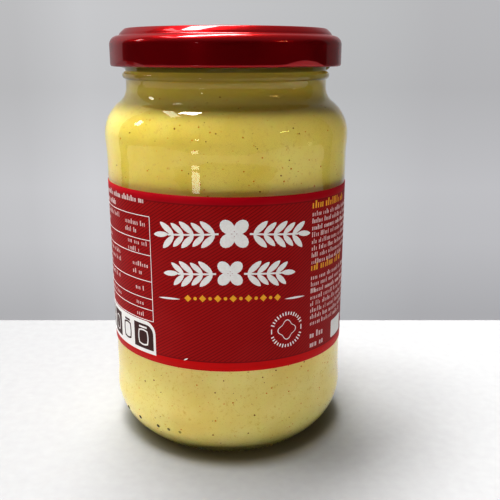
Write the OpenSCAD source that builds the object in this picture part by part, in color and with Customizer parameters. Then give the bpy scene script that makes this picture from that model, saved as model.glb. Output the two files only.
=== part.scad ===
// Jar of mustard: a round glass jar with a twist-off lid and a wrapped paper label.
// Millimetres, +Z up. The origin is the centre of the base and the label faces -Y.

/* [Glass body] */
// Diameter of the label panel
body_d = 74; // [62:0.5:92]
// Height of the glass, from the base to the rim
jar_h = 124; // [100:0.5:170]
// Thickness of the glass at the label panel
wall = 2.4; // [1.6:0.1:3.2]
// How far the shoulder ring and the heel ring stand out past the label panel
bulge = 0.3; // [0.1:0.05:0.8]
// Height over which each ring runs out into the label panel
bulge_run = 6; // [2:0.5:9]

/* [Heel and base] */
// Radius of the heel's curve
heel_r = 16; // [12.5:0.5:19]
// How far the bearing ring stands in from the heel ring
base_inset = 7.7; // [4:0.1:11]
// Width of the bearing ring
ring_w = 3.3; // [2:0.1:5]
// Height of the bearing ring under the heel's curve
ring_step = 0.65; // [0.4:0.05:1.5]
// Rise of the hollow under the base, at its centre
push_up = 1.6; // [0.5:0.1:2.2]
// Height of the inner floor
floor_z = 4.4; // [3.6:0.1:8]
// Radius between the inner floor and the inner wall
inner_heel_r = 11; // [6:0.5:14]

/* [Shoulder and neck] */
// Radius of the shoulder's curve
shoulder_r = 12; // [9:0.5:15]
// Radius of the hollow curve from the shoulder to the neck
neck_fillet = 5.5; // [4:0.5:9]
// Diameter of the neck
neck_d = 60.7; // [50:0.1:73]
// Height of the straight neck below the middle of the bead
neck_len = 3.4; // [1.8:0.1:8]
// How far the bead stands out past the neck
bead_out = 0.95; // [0.4:0.05:1.6]
// Radius of the bead's rounded section
bead_r = 1.2; // [0.9:0.05:1.6]

/* [Finish] */
// Height of the rim above the middle of the bead
finish_h = 11.9; // [9.5:0.1:15]
// Rounding of the rim's two edges
rim_round = 0.8; // [0.3:0.1:1]
// How far the thread ridges stand out past the neck
thread_out = 1.75; // [1.3:0.05:2.1]
// Width of a thread ridge at its crest
thread_crest = 0.9; // [0.5:0.1:1.2]
// Height of a thread ridge's lower end above the middle of the bead
thread_start = 2.2; // [2:0.1:2.6]
// Height that a thread ridge climbs
thread_rise = 3.7; // [3:0.1:4.5]
// Angle that a thread ridge covers
thread_sweep = 80; // [50:1:84]
// Angle of the first ridge's lower end, from the label's middle towards +X
thread_angle = -7; // [-45:1:45]

/* [Lid] */
// Height of the lid's lower edge above the middle of the bead
lid_hang = 2.55; // [1.5:0.05:3]
// Thickness of the lid's sheet
lid_t = 0.35; // [0.2:0.05:0.6]
// Gap between the thread ridges and the inside of the skirt
lid_gap = 2.2; // [1.4:0.1:3]
// Thickness of the sealing compound between the rim and the sheet
seal_t = 0.95; // [0.5:0.05:1.3]
// Radius of the lid's outer shoulder
lid_round = 2.6; // [1.6:0.1:3.2]
// Depth of the outer shoulder under the crest
lid_step = 1.45; // [0.8:0.05:1.6]
// Depth of the centre panel under the crest
dish = 1.1; // [0.5:0.05:1.3]
// Radius of the rolled curl
curl_r = 0.63; // [0.45:0.01:0.8]
// Diameter of the safety button
button_d = 23; // [14:0.5:36]
// Rise of the safety button
button_rise = 0.45; // [0.2:0.05:0.5]
// Number of lugs, which is also the number of thread ridges
lug_count = 4; // [4:1:4]
// Angle of the first lug, from the label's middle towards +X
lug_angle = 40; // [30:1:48]
// Width of a lug
lug_w = 9; // [6:0.5:12]
// How far a lug reaches in under a thread ridge
lug_reach = 1; // [0.5:0.05:1.2]
// Clearance between a lug and the thread ridge above it
lug_clear = 0.15; // [0.05:0.05:0.4]

/* [Label] */
// Thickness of the paper
label_t = 0.16; // [0.1:0.02:0.26]
// Gap from the label panel's lower end to the label
label_low_gap = 9.8; // [1:0.1:20]
// Gap from the label to the label panel's upper end
label_high_gap = 8; // [1:0.1:20]
// Tilt of the label about X, because it was applied a little skew
label_tilt_x = -1.14; // [-1.4:0.02:1.4]
// Tilt of the label about Y
label_tilt_y = 0.74; // [-1.4:0.02:1.4]

/* [Mustard] */
// Free height between the mustard and the rim
head_space = 3; // [1:0.5:8]

/* [Hidden] */
$fn = 128;

// Glass radii
panel_r = body_d / 2;
ring_r = panel_r + bulge;
inner_r = panel_r - wall;
neck_r = neck_d / 2;
bore_r = neck_r - wall - bulge;
base_r = ring_r - base_inset;
base_chamfer = 0.3;

// Heel curve: it meets the heel ring upright and comes down on the bearing ring
heel_cr = ring_r - heel_r;
heel_foot = acos((heel_r - base_inset) / heel_r);
heel_z = ring_step + heel_r * sin(heel_foot);

// Shoulder curve: the hollow neck curve touches it, and both are upright at their ends
bead_z = jar_h - finish_h;
fillet_z = bead_z - neck_len;
shoulder_cr = ring_r - shoulder_r;
fillet_cr = neck_r + neck_fillet;
shoulder_z = fillet_z - sqrt(pow(shoulder_r + neck_fillet, 2) - pow(fillet_cr - shoulder_cr, 2));
shoulder_turn = atan2(fillet_z - shoulder_z, fillet_cr - shoulder_cr);
inner_shoulder_r = shoulder_r - wall - bulge;
inner_fillet = neck_fillet + wall + bulge;

// Straight label panel between the two rings
panel_z0 = heel_z + bulge_run;
panel_z1 = shoulder_z - bulge_run;

// Underside of the base: one shallow arc between the bearing ring's inner edges
hollow_r = base_r - ring_w;
hollow_arc = (hollow_r * hollow_r + push_up * push_up) / (2 * push_up);

// Lid
thread_r = neck_r + thread_out;
lid_in = thread_r + lid_gap;
lid_r = lid_in + lid_t;
crest_z = jar_h + seal_t + lid_t;
lid_z = bead_z + lid_hang;
step_z = crest_z - lid_step;
dish_z = crest_z - dish;
lid_cr = lid_r - lid_round;
lid_cz = step_z - lid_round;
crest_round = 0.8;
crest_out = neck_r + 0.25;
crest_in = bore_r - 0.1;
crest_foot = neck_r + 1.2;
dish_slope = 0.5;
seal_in = bore_r - 0.35;
seal_out = neck_r + 0.5;
button_r = button_d / 2;
button_edge = 1;
button_fall = 0.3;
curl_inset = 0.02;
lug_lift = 0.15;

// Thread ridges: how deep they are sunk in the neck, the slope of their flanks, and their ends
sunk = 0.6;
flank_slope = 0.2;
ridge_end = 0.05;

// Points for each arc, for a small arc and along a thread ridge
steps = 12;
small_steps = 6;
thread_steps = 18;

// Points of an arc about (cx, cz) from angle a to angle b
function arc(cx, cz, r, a, b, n = steps) =
    [for (i = [0 : n]) let (t = a + (b - a) * i / n) [cx + r * cos(t), cz + r * sin(t)]];

// Smooth run-out of a ring into the panel, from radius a at height za to radius b at zb
function ease(a, za, b, zb, n = steps) =
    [for (i = [1 : n - 1]) let (t = i / n) [a + (b - a) * (1 - cos(180 * t)) / 2, za + (zb - za) * t]];

// Height of a thread ridge's middle, at an angle from its lower end
function thread_z(angle) = bead_z + thread_start + thread_rise * angle / thread_sweep;

// Outline of the cavity, up the inside of the glass to a height in the bore
function cavity(top) = concat(
    [[0, floor_z]],
    arc(inner_r - inner_heel_r, floor_z + inner_heel_r, inner_heel_r, -90, 0),
    arc(shoulder_cr, shoulder_z, inner_shoulder_r, 0, shoulder_turn),
    arc(fillet_cr, fillet_z, inner_fillet, 180 + shoulder_turn, 180),
    [[bore_r, top], [0, top]]
);

// Outline of the glass outside, closed along the axis above the rim
function outside() = concat(
    arc(0, push_up - hollow_arc, hollow_arc, 90, 90 - asin(hollow_r / hollow_arc)),
    [[base_r - base_chamfer, 0], [base_r, base_chamfer]],
    arc(heel_cr, heel_z, heel_r, -heel_foot, 0),
    ease(ring_r, heel_z, panel_r, panel_z0),
    [[panel_r, panel_z0], [panel_r, panel_z1]],
    ease(panel_r, panel_z1, ring_r, shoulder_z),
    arc(shoulder_cr, shoulder_z, shoulder_r, 0, shoulder_turn),
    arc(fillet_cr, fillet_z, neck_fillet, 180 + shoulder_turn, 180),
    arc(neck_r + bead_out - bead_r, bead_z, bead_r, -bead_turn, bead_turn),
    arc(neck_r - rim_round, jar_h - rim_round, rim_round, 0, 90, small_steps),
    [[0, jar_h]]
);
bead_turn = acos((bead_r - bead_out) / bead_r);

// How far a thread ridge stands out at a share of its length: it runs out at both ends
function ridge_out(share) = max(ridge_end, thread_out * sqrt(min(1, share * 6, (1 - share) * 6)));

// Half the width of a thread ridge at its foot, sunk in the neck, where it stands out by this much
function thread_foot(out) = thread_crest / 2 + (out + sunk) * flank_slope;

// One thread ridge, as rings of four points swept up a helix
module thread_ridge() {
    points = [for (i = [0 : thread_steps])
        let (share = i / thread_steps,
             angle = thread_sweep * share,
             z = thread_z(angle),
             out = ridge_out(share),
             r_in = neck_r - sunk,
             r_out = neck_r + out,
             foot = thread_foot(out),
             tip = thread_crest / 2)
        each [for (p = [[r_in, -foot], [r_out, -tip], [r_out, tip], [r_in, foot]])
            [p[0] * cos(angle), p[0] * sin(angle), z + p[1]]]];
    sides = [for (i = [0 : thread_steps - 1], j = [0 : 3])
        let (a = 4 * i + j, b = 4 * i + (j + 1) % 4)
        each [[a, b, a + 4], [b, b + 4, a + 4]]];
    last = 4 * thread_steps;
    ends = [[0, 3, 2], [0, 2, 1], [last, last + 1, last + 2], [last, last + 2, last + 3]];
    polyhedron(points = points, faces = concat(sides, ends));
}

// Glass jar: a turned shell with its thread ridges
module jar() {
    color([0.83, 0.9, 0.86, 0.35]) {
        difference() {
            rotate_extrude() polygon(outside());
            rotate_extrude() polygon(cavity(jar_h + 1));
            rim_inside();
        }
        for (i = [0 : lug_count - 1])
            rotate([0, 0, thread_angle - 90 + i * 360 / lug_count]) thread_ridge();
    }
}

// Rounds the rim's inner edge: what lies between the bore's corner and the rounding
module rim_inside() {
    rotate_extrude() polygon(concat(
        arc(bore_r + rim_round, jar_h - rim_round, rim_round, 180, 90, small_steps),
        [[bore_r - 0.1, jar_h], [bore_r - 0.1, jar_h - rim_round]]
    ));
}

// Mustard: fills the cavity up to the head space
module mustard() {
    color([0.83, 0.69, 0.33])
        rotate_extrude() polygon(cavity(jar_h - head_space));
}

// Inward tab of the curl, hooked under a thread ridge
module lug() {
    foot = lid_z + lug_lift;
    top = thread_z(lug_angle - thread_angle) - thread_foot(thread_out) - lug_clear;
    width = lug_w / lid_in * 180 / PI;
    rotate([0, 0, lug_angle - 90 - width / 2])
        rotate_extrude(angle = width)
            translate([thread_r - lug_reach, foot])
                square([lid_r - curl_r - thread_r + lug_reach, top - foot]);
}

// Outline of the lid's upper face, from the skirt's foot to the centre
function lid_top() = concat(
    [[lid_r, lid_z + curl_r]],
    arc(lid_cr, lid_cz, lid_round, 0, 90),
    [[crest_foot, step_z]],
    arc(crest_out - crest_round, crest_z - crest_round, crest_round, 25, 90, small_steps),
    arc(crest_in + crest_round, crest_z - crest_round, crest_round, 90, 155, small_steps),
    [[crest_in - dish_slope, dish_z], [button_r + button_edge, dish_z]],
    [for (i = [0 : small_steps]) let (t = 1 - i / small_steps)
        [button_r * t, dish_z + button_rise * (1 - button_fall * t * t)]]
);

// Outline of the lid's lower face, back from the centre to the skirt's foot
function lid_under() = concat(
    [for (i = [0 : small_steps]) let (t = i / small_steps)
        [button_r * t, dish_z - lid_t + button_rise * (1 - button_fall * t * t)]],
    [[button_r + button_edge, dish_z - lid_t], [seal_in - dish_slope / 2, dish_z - lid_t]],
    [[seal_in, jar_h], [seal_out, jar_h], [crest_foot, step_z - lid_t]],
    arc(lid_cr, lid_cz, lid_round - lid_t, 90, 0),
    [[lid_in, lid_z + curl_r]]
);

// Lid: pressed sheet with a rolled curl, an outer shoulder, a crest over the rim,
// a sunk panel and a raised safety button, with the sealing compound as part of the crest
module lid() {
    color([0.34, 0.01, 0.02]) {
        rotate_extrude() polygon(concat(lid_top(), lid_under()));
        rotate_extrude()
            translate([lid_r - curl_r - curl_inset, lid_z + curl_r]) circle(r = curl_r, $fn = 24);
        for (i = [0 : lug_count - 1])
            rotate([0, 0, i * 360 / lug_count]) lug();
    }
}

// Label: a paper sleeve on the panel, cut by two parallel tilted planes
module label() {
    low = panel_z0 + label_low_gap;
    high = panel_z1 - label_high_gap;
    color([0.55, 0.04, 0.04])
        intersection() {
            difference() {
                translate([0, 0, low - panel_r])
                    cylinder(r = panel_r + label_t, h = high - low + body_d);
                translate([0, 0, low - body_d])
                    cylinder(r = panel_r, h = high - low + 3 * body_d);
            }
            translate([0, 0, (low + high) / 2])
                rotate([label_tilt_x, label_tilt_y, 0])
                    cube([2 * body_d, 2 * body_d, high - low], center = true);
        }
}

jar();
mustard();
lid();
label();
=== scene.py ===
import math
import random

import bmesh
import bpy
from mathutils import Matrix, Vector


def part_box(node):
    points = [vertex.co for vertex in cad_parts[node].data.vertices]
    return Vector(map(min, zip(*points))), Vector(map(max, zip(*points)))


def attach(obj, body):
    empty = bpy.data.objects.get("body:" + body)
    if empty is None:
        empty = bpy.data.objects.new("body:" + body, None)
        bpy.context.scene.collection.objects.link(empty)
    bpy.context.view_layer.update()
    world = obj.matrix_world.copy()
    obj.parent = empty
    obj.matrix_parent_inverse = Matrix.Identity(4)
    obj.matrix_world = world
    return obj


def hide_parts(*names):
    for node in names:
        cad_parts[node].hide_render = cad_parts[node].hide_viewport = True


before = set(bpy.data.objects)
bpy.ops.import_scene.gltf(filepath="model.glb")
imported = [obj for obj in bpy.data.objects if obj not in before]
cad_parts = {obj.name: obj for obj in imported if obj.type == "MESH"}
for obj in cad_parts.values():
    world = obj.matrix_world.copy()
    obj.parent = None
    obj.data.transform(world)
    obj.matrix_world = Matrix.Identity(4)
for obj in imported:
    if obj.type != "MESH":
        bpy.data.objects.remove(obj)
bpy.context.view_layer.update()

print("mustard jar: the packed frame is loaded")

mm = 0.001
body = "root"
weldReach = 1e-7
black = (0, 0, 0, 1)
white = (1, 1, 1, 1)
jarLow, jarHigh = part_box("jar")
lidLow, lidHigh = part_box("lid")
labelLow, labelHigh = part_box("label")
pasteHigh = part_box("mustard")[1]


# points of an arc in the (radius, height) plane, in millimetres and degrees
def arcPoints(centreR, centreZ, radius, start, end, steps=12):
    points = []
    for i in range(steps + 1):
        turn = math.radians(start + (end - start) * i / steps)
        points.append((centreR + radius * math.cos(turn), centreZ + radius * math.sin(turn)))
    return points


# a smooth change of radius over a height
def easePoints(r0, z0, r1, z1, steps=8):
    points = []
    for i in range(1, steps):
        t = i / steps
        points.append((r0 + (r1 - r0) * (1 - math.cos(math.pi * t)) / 2, z0 + (z1 - z0) * t))
    return points


def levels(radius, z0, z1, steps):
    return [(radius, z0 + (z1 - z0) * i / steps) for i in range(steps + 1)]


def azimuth(co):
    return math.degrees(math.atan2(co.x, -co.y))  # 0 at the label's middle, rising towards +X


def smooth(t):
    t = min(1, max(0, t))
    return t * t * (3 - 2 * t)


# turns an outline about the jar's axis into a closed shell
def turnOutline(outline, steps):
    bm = bmesh.new()
    verts = [bm.verts.new((r * mm, 0, z * mm)) for r, z in outline]
    edges = [bm.edges.new(pair) for pair in zip(verts, verts[1:])]
    bmesh.ops.spin(bm, geom=verts + edges, cent=(0, 0, 0), axis=(0, 0, 1), dvec=(0, 0, 0),
                   angle=2 * math.pi, steps=steps, use_merge=True, use_duplicate=False)
    bmesh.ops.remove_doubles(bm, verts=bm.verts, dist=weldReach)
    bmesh.ops.recalc_face_normals(bm, faces=bm.faces)
    return bm


def makePiece(bm, name, material, replaced=None, smoothFaces=True):
    for face in bm.faces:
        face.smooth = smoothFaces
    mesh = bpy.data.meshes.new(name)
    bm.to_mesh(mesh)
    bm.free()
    piece = bpy.data.objects.new(name, mesh)
    bpy.context.scene.collection.objects.link(piece)
    mesh.materials.append(material)
    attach(piece, body)
    if replaced:
        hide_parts(replaced)
    return piece


def newMaterial(name):
    material = bpy.data.materials.new(name)
    material.use_nodes = True
    return material, material.node_tree, material.node_tree.nodes["Principled BSDF"]


def addNode(tree, kind, values=None, **settings):
    node = tree.nodes.new(kind)
    for key, value in settings.items():
        setattr(node, key, value)
    for key, value in (values or {}).items():
        node.inputs[key].default_value = value
    return node


def mathNode(tree, operation, a, b=None):
    node = addNode(tree, "ShaderNodeMath", operation=operation)
    for i, value in enumerate((a, b)):
        if value is None:
            continue
        if isinstance(value, (int, float)):
            node.inputs[i].default_value = value
        else:
            tree.links.new(value, node.inputs[i])
    return node.outputs[0]


def mixColours(tree, factor, a, b):
    node = addNode(tree, "ShaderNodeMix", data_type="RGBA")
    for socket, value in ((node.inputs[0], factor), (node.inputs[6], a), (node.inputs[7], b)):
        if isinstance(value, (int, float, tuple)):
            socket.default_value = value
        else:
            tree.links.new(value, socket)
    return node.outputs[2]


def objectPoints(tree, scale=(1, 1, 1)):
    place = addNode(tree, "ShaderNodeTexCoord")
    mapping = addNode(tree, "ShaderNodeMapping", {"Scale": scale})
    tree.links.new(place.outputs["Object"], mapping.inputs["Vector"])
    return mapping.outputs["Vector"]


# the three parts of a point, as sockets
def splitPoint(tree, point):
    node = addNode(tree, "ShaderNodeSeparateXYZ")
    tree.links.new(point, node.inputs[0])
    return node.outputs


# a socket scaled and shifted
def stretch(tree, value, scale, shift=0.0):
    return mathNode(tree, "ADD", mathNode(tree, "MULTIPLY", value, scale), shift)


def addNoise(tree, points, scale, detail=2.0, roughness=0.5):
    node = addNode(tree, "ShaderNodeTexNoise", {"Scale": scale, "Detail": detail, "Roughness": roughness})
    tree.links.new(points, node.inputs["Vector"])
    return node.outputs["Fac"]


def addRamp(tree, factor, stops, interpolation="LINEAR"):
    node = addNode(tree, "ShaderNodeValToRGB")
    node.color_ramp.interpolation = interpolation
    elements = node.color_ramp.elements
    while len(elements) < len(stops):
        elements.new(0.5)
    for element, (position, colour) in zip(elements, stops):
        element.position = position
        element.color = colour
    tree.links.new(factor, node.inputs[0])
    return node.outputs[0]


# black below a band and white above it
def bandRamp(tree, value, band, below=black, above=white, interpolation="LINEAR"):
    return addRamp(tree, value, [(band[0], below), (band[1], above)], interpolation)


def addBump(tree, shader, height, strength, distance):
    node = addNode(tree, "ShaderNodeBump", {"Strength": strength, "Distance": distance})
    tree.links.new(height, node.inputs["Height"])
    tree.links.new(node.outputs[0], shader.inputs["Normal"])


# the glass; sizes in millimetres, angles in degrees
glass = {
    "wall": 2.4, "bulge": 0.3, "bulgeRun": 6, "floor": 4.4, "innerHeel": 11,
    "heelRadius": 16, "baseInset": 7.7, "ringWidth": 3.3, "ringStep": 0.65, "pushUp": 1.6,
    # out from the base's edge, then up
    "ringFoot": ((-1.8, 0), (-0.9, 0), (-0.35, 0.02), (-0.1, 0.12), (0, 0.33)),
    "shoulderRadius": 12, "neckFillet": 5.5, "neckRadius": 30.35, "neckLength": 3.4,
    "beadOut": 0.95, "beadRadius": 1.2, "finish": 11.9, "finishWall": 8.2, "rimRound": 0.8,
    "threadOut": 1.75, "threadCrest": 0.9, "threadFoot": 0.55, "threadStart": 2.2,
    "threadRise": 3.7, "threadSweep": 80, "threadAngle": -7, "threads": 4, "threadTaper": 6,
    "knurls": 120, "knurlDepth": 0.3, "knurlTop": 0.7, "knurlInset": 0.5, "knurlRun": 1.5, "knurlBite": 0.25,
    "wave": 0.03, "steps": 480,
    "tint": (0.965, 0.985, 0.97, 1), "letThrough": (0.93, 0.955, 0.935, 1), "shadow": (0.24, 0.25, 0.24, 1),
    "ior": 1.5, "wobbleScale": 70, "wobble": 0.12, "wobbleDepth": 0.0012,
}
jarTop = jarHigh.z / mm
ringRadius = (jarHigh.x - jarLow.x) / 2 / mm
panelRadius = ringRadius - glass["bulge"]
innerRadius = panelRadius - glass["wall"]
boreRadius = glass["neckRadius"] - glass["wall"] - glass["bulge"]
baseRadius = ringRadius - glass["baseInset"]
heelCentre = ringRadius - glass["heelRadius"]
heelFoot = math.degrees(math.acos((baseRadius - heelCentre) / glass["heelRadius"]))
heelZ = glass["ringStep"] + glass["heelRadius"] * math.sin(math.radians(heelFoot))
beadZ = jarTop - glass["finish"]
filletZ = beadZ - glass["neckLength"]
filletCentre = glass["neckRadius"] + glass["neckFillet"]
shoulderCentre = ringRadius - glass["shoulderRadius"]
curvesApart = glass["shoulderRadius"] + glass["neckFillet"]
shoulderZ = filletZ - math.sqrt(curvesApart ** 2 - (filletCentre - shoulderCentre) ** 2)
shoulderTurn = math.degrees(math.atan2(filletZ - shoulderZ, filletCentre - shoulderCentre))
innerShoulder = glass["shoulderRadius"] - glass["wall"] - glass["bulge"]
innerFillet = glass["neckFillet"] + glass["wall"] + glass["bulge"]


# outline of the cavity from the floor's middle up to a height in the bore, grown into the wall
def cavityOutline(top, grow=0.0):
    return (
        [(0, glass["floor"] - grow)]
        + arcPoints(innerRadius - glass["innerHeel"], glass["floor"] + glass["innerHeel"],
                    glass["innerHeel"] + grow, -90, 0)
        + arcPoints(shoulderCentre, shoulderZ, innerShoulder + grow, 0, shoulderTurn, 14)
        + arcPoints(filletCentre, filletZ, innerFillet - grow, 180 + shoulderTurn, 180)
        + [(boreRadius + grow, top)]
    )


def glassOutline():
    hollow = baseRadius - glass["ringWidth"]
    hollowArc = (hollow ** 2 + glass["pushUp"] ** 2) / (2 * glass["pushUp"])
    hollowEnd = 90 - math.degrees(math.asin(hollow / hollowArc))
    beadCentre = glass["neckRadius"] + glass["beadOut"] - glass["beadRadius"]
    beadTurn = math.degrees(math.acos((glass["beadRadius"] - glass["beadOut"]) / glass["beadRadius"]))
    panelFoot = heelZ + glass["bulgeRun"]
    panelTop = shoulderZ - glass["bulgeRun"]
    rimRound = glass["rimRound"]
    outline = arcPoints(0, glass["pushUp"] - hollowArc, hollowArc, 90, hollowEnd, 6)
    outline[0] = (0, glass["pushUp"])
    outline += [(baseRadius + out, z) for out, z in glass["ringFoot"]]
    outline += arcPoints(heelCentre, heelZ, glass["heelRadius"], -heelFoot, 0, 22)
    outline += easePoints(ringRadius, heelZ, panelRadius, panelFoot)
    outline += levels(panelRadius, panelFoot, panelTop, 8)
    outline += easePoints(panelRadius, panelTop, ringRadius, shoulderZ)
    outline += arcPoints(shoulderCentre, shoulderZ, glass["shoulderRadius"], 0, shoulderTurn, 16)
    outline += arcPoints(filletCentre, filletZ, glass["neckFillet"], 180 + shoulderTurn, 180, 10)[1:]
    outline += arcPoints(beadCentre, beadZ, glass["beadRadius"], -beadTurn, beadTurn, 12)
    outline += levels(glass["neckRadius"], beadZ + glass["beadRadius"] + 0.2, beadZ + glass["finishWall"], 24)
    outline += arcPoints(glass["neckRadius"] - rimRound, jarTop - rimRound, rimRound, 0, 90, 6)
    outline += arcPoints(boreRadius + rimRound, jarTop - rimRound, rimRound, 90, 180, 6)
    return outline + cavityOutline(filletZ + 2)[::-1]


# how far a thread ridge stands out at an angle and a height
def threadOut(angle, z):
    for i in range(glass["threads"]):
        turned = (angle - glass["threadAngle"] - 360 / glass["threads"] * i) % 360
        share = turned / glass["threadSweep"]
        if share < 1:
            middle = beadZ + glass["threadStart"] + glass["threadRise"] * share
            ends = math.sqrt(min(1, share * glass["threadTaper"], (1 - share) * glass["threadTaper"]))
            away = abs(z - middle) - glass["threadCrest"] / 2
            return glass["threadOut"] * ends * (1 - smooth(away / glass["threadFoot"]))
    return 0


# raises the thread ridges, cuts the knurl into the bearing ring and leaves the walls slightly uneven
def shapeGlass(bm):
    knurlTop = glass["knurlTop"]
    knurlStart = baseRadius - glass["ringWidth"] + glass["knurlInset"]
    for vert in bm.verts:
        r = math.hypot(vert.co.x, vert.co.y) / mm
        z = vert.co.z / mm
        if r < 1e-4:
            continue
        angle = azimuth(vert.co)
        a = math.radians(angle)
        grown = r
        if z > beadZ + glass["beadRadius"] and r > glass["neckRadius"] - 0.1:
            grown += threadOut(angle, z)
        if z < knurlTop and knurlStart < r < baseRadius + 0.2:
            groove = 0.5 + 0.5 * math.cos(glass["knurls"] * a)
            outer = smooth((r - knurlStart) / glass["knurlRun"])
            vert.co.z += glass["knurlDepth"] * groove * outer * (1 - z / knurlTop) * mm
            grown -= glass["knurlBite"] * groove * outer * (1 - abs(z - 0.3))
        elif r > innerRadius + 0.5 or (z > shoulderZ and r > innerRadius - 1):
            ripple = math.sin(3 * a + 0.11 * z) + math.sin(5 * a - 0.17 * z + 1.3)
            ripple += math.sin(0.42 * z + 2 * a)
            grown -= glass["wave"] * (0.5 + ripple / 6)
        vert.co.x *= grown / r
        vert.co.y *= grown / r


def glassMaterial():
    material, tree, shader = newMaterial("clear glass")
    shader.inputs["Base Color"].default_value = glass["tint"]
    shader.inputs["Roughness"].default_value = 0.0
    shader.inputs["IOR"].default_value = glass["ior"]
    shader.inputs["Transmission Weight"].default_value = 1.0
    wobble = addNoise(tree, objectPoints(tree), glass["wobbleScale"], 2.5)
    addBump(tree, shader, wobble, glass["wobble"], glass["wobbleDepth"])
    # lamps and the light that the paste sends back pass straight through
    path = addNode(tree, "ShaderNodeLightPath")
    through = addNode(tree, "ShaderNodeBsdfTransparent")
    entering = mathNode(tree, "SUBTRACT", 1, addNode(tree, "ShaderNodeNewGeometry").outputs["Backfacing"])
    shaded = mathNode(tree, "MULTIPLY", entering, path.outputs["Is Shadow Ray"])
    tree.links.new(mixColours(tree, shaded, glass["letThrough"], glass["shadow"]), through.inputs["Color"])
    mix = addNode(tree, "ShaderNodeMixShader")
    either = mathNode(tree, "MAXIMUM", path.outputs["Is Shadow Ray"], path.outputs["Is Diffuse Ray"])
    tree.links.new(either, mix.inputs[0])
    tree.links.new(shader.outputs[0], mix.inputs[1])
    tree.links.new(through.outputs[0], mix.inputs[2])
    tree.links.new(mix.outputs[0], tree.nodes["Material Output"].inputs["Surface"])
    return material


bm = turnOutline(glassOutline(), glass["steps"])
shapeGlass(bm)
bmesh.ops.recalc_face_normals(bm, faces=bm.faces)
makePiece(bm, "glassJar", glassMaterial(), "jar")
print("mustard jar: glass turned")

# a row of small raised mould dots on the heel, the first ones smudged black
dots = {
    "angles": (-59.6, -47.3, -34.4, -28.1, -22.0), "height": 9.45,
    "width": 0.62, "proud": 0.16, "shrink": 0.06, "upright": 1.15,
    "smudge": (0.004, 0.004, 0.003, 1), "faded": (0.52, 0.40, 0.09, 1), "grime": (0.02, 0.018, 0.008, 1),
}


def mouldDots():
    bm = bmesh.new()
    lift = math.asin((heelZ - dots["height"]) / glass["heelRadius"])
    r = heelCentre + glass["heelRadius"] * math.cos(lift)
    for i, angle in enumerate(dots["angles"]):
        size = dots["width"] * (1 - dots["shrink"] * i)
        place = Matrix.Rotation(math.radians(angle), 4, "Z")
        place @= Matrix.Translation((0, -r * mm, dots["height"] * mm))
        place @= Matrix.Rotation(lift, 4, "X")
        place @= Matrix.Diagonal((size * mm, dots["proud"] * mm, size * dots["upright"] * mm, 1))
        bmesh.ops.create_icosphere(bm, subdivisions=3, radius=1, matrix=place)
    return bm


def dotMaterial():
    material, tree, shader = newMaterial("smudged dots")
    points = objectPoints(tree)
    along = stretch(tree, splitPoint(tree, points)[0], 50, 1.6)
    colour = addRamp(tree, along, [(0.45, dots["smudge"]), (0.95, dots["faded"])])
    grime = addNoise(tree, points, 900, 2.0)
    dirt = mathNode(tree, "MULTIPLY", grime, 0.4)
    tree.links.new(mixColours(tree, dirt, colour, dots["grime"]), shader.inputs["Base Color"])
    shader.inputs["Specular IOR Level"].default_value = 0.15
    tree.links.new(stretch(tree, grime, 0.4, 0.2), shader.inputs["Roughness"])
    return material


makePiece(mouldDots(), "mouldDots", dotMaterial())
print("mustard jar: mould dots set")

# the paste, a touch larger than the cavity so that it wets the glass
paste = {
    "grow": 0.15, "steps": 240, "darkSpecks": 200, "warmSpecks": 520, "seed": 11,
    "smallest": 0.10, "largest": 0.28, "sizePower": 2.3, "shortest": 0.8, "longest": 1.3,
    "flat": 0.09, "proud": 0.02, "speckFoot": 4.9, "speckTop": 107, "labelMargin": 1.5,
    # painted reflection: the second colour makes the paste paler and bluer towards the bottom, standing in
    # for the floor's pale haze in the glass
    "colour": (0.86, 0.68, 0.15, 1), "low": (0.88, 0.72, 0.27, 1), "floorHazeBand": (0.28, 0.62),
    "pale": (0.90, 0.77, 0.30, 1), "deep": (0.79, 0.58, 0.11, 1),
    "fleck": (0.78, 0.58, 0.15, 1), "grit": (0.74, 0.54, 0.15, 1),
    # painted shadow of the lid: the paste is darker above a line that slants lower to the right, and darkest
    # in a band just under the lid's edge
    "lidShadow": (0.64, 0.47, 0.09, 1), "lidShadowBand": (0.78, 0.885), "lidShadowSlant": 1.1,
    "lidShadowCore": (0.30, 0.22, 0.04, 1), "lidShadowCoreBand": (0.893, 0.912), "bandScale": 8,
    "darkHusk": (0.42, 0.15, 0.015, 1), "warmHusk": (0.84, 0.32, 0.012, 1), "shadeOfHusk": 0.7,
    "glow": 0.7, "reach": (1.0, 0.62, 0.22), "reachScale": 0.003,
}
pasteTop = pasteHigh.z / mm


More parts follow.
